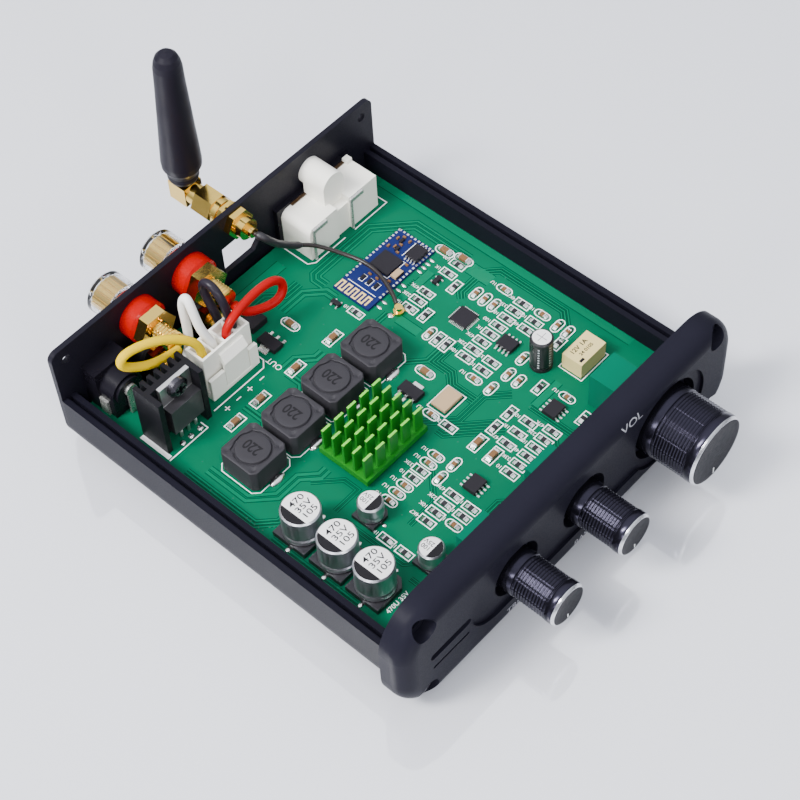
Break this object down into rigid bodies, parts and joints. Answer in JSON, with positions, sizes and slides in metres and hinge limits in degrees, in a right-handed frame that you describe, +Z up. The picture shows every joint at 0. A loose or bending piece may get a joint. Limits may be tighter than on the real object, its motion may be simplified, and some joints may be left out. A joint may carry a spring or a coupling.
{
  "type": "digital amplifier",
  "caption": "Desktop digital amplifier with its cover off: extruded tray, knobbed front panel, green board with coils and heatsinks, plug-in terminals and a stub aerial.",
  "frame": {"origin": "on the floor under the middle of the part's footprint", "axes": "+X to the right along the front panel, +Y from the front panel to the back plate, +Z up"},
  "size_m": [0.128, 0.1622, 0.0838],
  "materials": {
    "black_anodised": "fine satin black anodising",
    "black_plate": "satin black plate",
    "screw_steel": "plated steel",
    "foot_rubber": "matte black rubber",
    "board_green": "glass-fibre board under green solder mask",
    "pot_teal": "moulded case with a metal bush",
    "shaft_steel": "turned steel",
    "knob_metal": "turned and satin anodised",
    "jack_plastic": "moulded black plastic",
    "tinned_metal": "tinned metal",
    "white_plastic": "moulded white plastic",
    "gold_plate": "bright gold plating",
    "red_plastic": "glossy red plastic",
    "black_plastic": "smooth black plastic",
    "clear_cap": "clear moulded plastic",
    "coax_brown": "dark insulated lead",
    "module_blue": "dark blue circuit board",
    "chip_black": "moulded chip package",
    "sink_black": "black anodised extrusion",
    "wire_yellow": "insulated lead",
    "wire_white": "insulated lead",
    "wire_red": "insulated lead",
    "wire_black": "insulated lead",
    "sink_green": "bright green anodising",
    "ferrite_grey": "matte moulded ferrite",
    "can_aluminium": "drawn aluminium can on a black base",
    "relay_cream": "moulded plastic case",
    "chip_ceramic": "ceramic chip with tinned ends"
  },
  "bodies": {
    "amplifier": {"lower_shell": "black_anodised", "front_panel": "black_anodised", "back_panel": "black_plate", "case_screws": "screw_steel", "rubber_feet": "foot_rubber", "main_board": "board_green", "volume_pot": "pot_teal", "bass_pot": "pot_teal", "treble_pot": "pot_teal", "power_jack": "jack_plastic", "jack_contacts": "tinned_metal", "rca_housing": "white_plastic", "rca_faceplate": "jack_plastic", "rca_barrels": "gold_plate", "rca_contacts": "tinned_metal", "rca_screw": "screw_steel", "red_collars": "red_plastic", "black_collars": "black_plastic", "post_nuts": "gold_plate", "post_studs": "gold_plate", "sma_jack": "gold_plate", "sma_nut": "gold_plate", "antenna_nut": "gold_plate", "coax_cable": "coax_brown", "coax_plug": "gold_plate", "radio_module": "module_blue", "radio_parts": "chip_black", "regulator_heatsink": "sink_black", "regulator": "chip_black", "regulator_screw": "screw_steel", "output_header": "white_plastic", "output_plug": "white_plastic", "wire_yellow": "wire_yellow", "wire_white": "wire_white", "wire_red": "wire_red", "wire_black": "wire_black", "green_heatsink": "sink_green", "board_chips": "chip_black", "inductors": "ferrite_grey", "large_capacitors": "can_aluminium", "small_capacitors": "can_aluminium", "radial_capacitor": "black_plastic", "relay": "relay_cream", "chip_parts": "chip_ceramic"},
    "volume_control": {"volume_shaft": "shaft_steel", "volume_knob": "knob_metal"},
    "bass_control": {"bass_shaft": "shaft_steel", "bass_knob": "knob_metal"},
    "treble_control": {"treble_shaft": "shaft_steel", "treble_knob": "knob_metal"},
    "aerial": {"antenna_elbow": "gold_plate", "antenna_whip": "black_plastic"},
    "terminal_1": {"post_sleeve_1": "gold_plate", "post_cap_1": "clear_cap"},
    "terminal_2": {"post_sleeve_2": "gold_plate", "post_cap_2": "clear_cap"},
    "terminal_3": {"post_sleeve_3": "gold_plate", "post_cap_3": "clear_cap"},
    "terminal_4": {"post_sleeve_4": "gold_plate", "post_cap_4": "clear_cap"}
  },
  "joints": [
    {"name": "volume_turn", "type": "hinge", "parent": "amplifier", "child": "volume_control", "pos_m": [0.036, -0.06, 0.0191], "axis": [0, 1, 0], "range_deg": [-150, 150]},
    {"name": "bass_turn", "type": "hinge", "parent": "amplifier", "child": "bass_control", "pos_m": [0.0033, -0.06, 0.0191], "axis": [0, 1, 0], "range_deg": [-150, 150]},
    {"name": "treble_turn", "type": "hinge", "parent": "amplifier", "child": "treble_control", "pos_m": [-0.0226, -0.06, 0.0191], "axis": [0, 1, 0], "range_deg": [-150, 150]},
    {"name": "aerial_swivel", "type": "hinge", "parent": "amplifier", "child": "aerial", "pos_m": [0.0058, 0.07, 0.0328], "axis": [0, 1, 0], "range_deg": [-110, 110]},
    {"name": "terminal_1_unscrew", "type": "slide", "parent": "amplifier", "child": "terminal_1", "axis": [0, 1, 0], "range_m": [0, 0.004]},
    {"name": "terminal_2_unscrew", "type": "slide", "parent": "amplifier", "child": "terminal_2", "axis": [0, 1, 0], "range_m": [0, 0.004]},
    {"name": "terminal_3_unscrew", "type": "slide", "parent": "amplifier", "child": "terminal_3", "axis": [0, 1, 0], "range_m": [0, 0.004]},
    {"name": "terminal_4_unscrew", "type": "slide", "parent": "amplifier", "child": "terminal_4", "axis": [0, 1, 0], "range_m": [0, 0.004]}
  ]
}
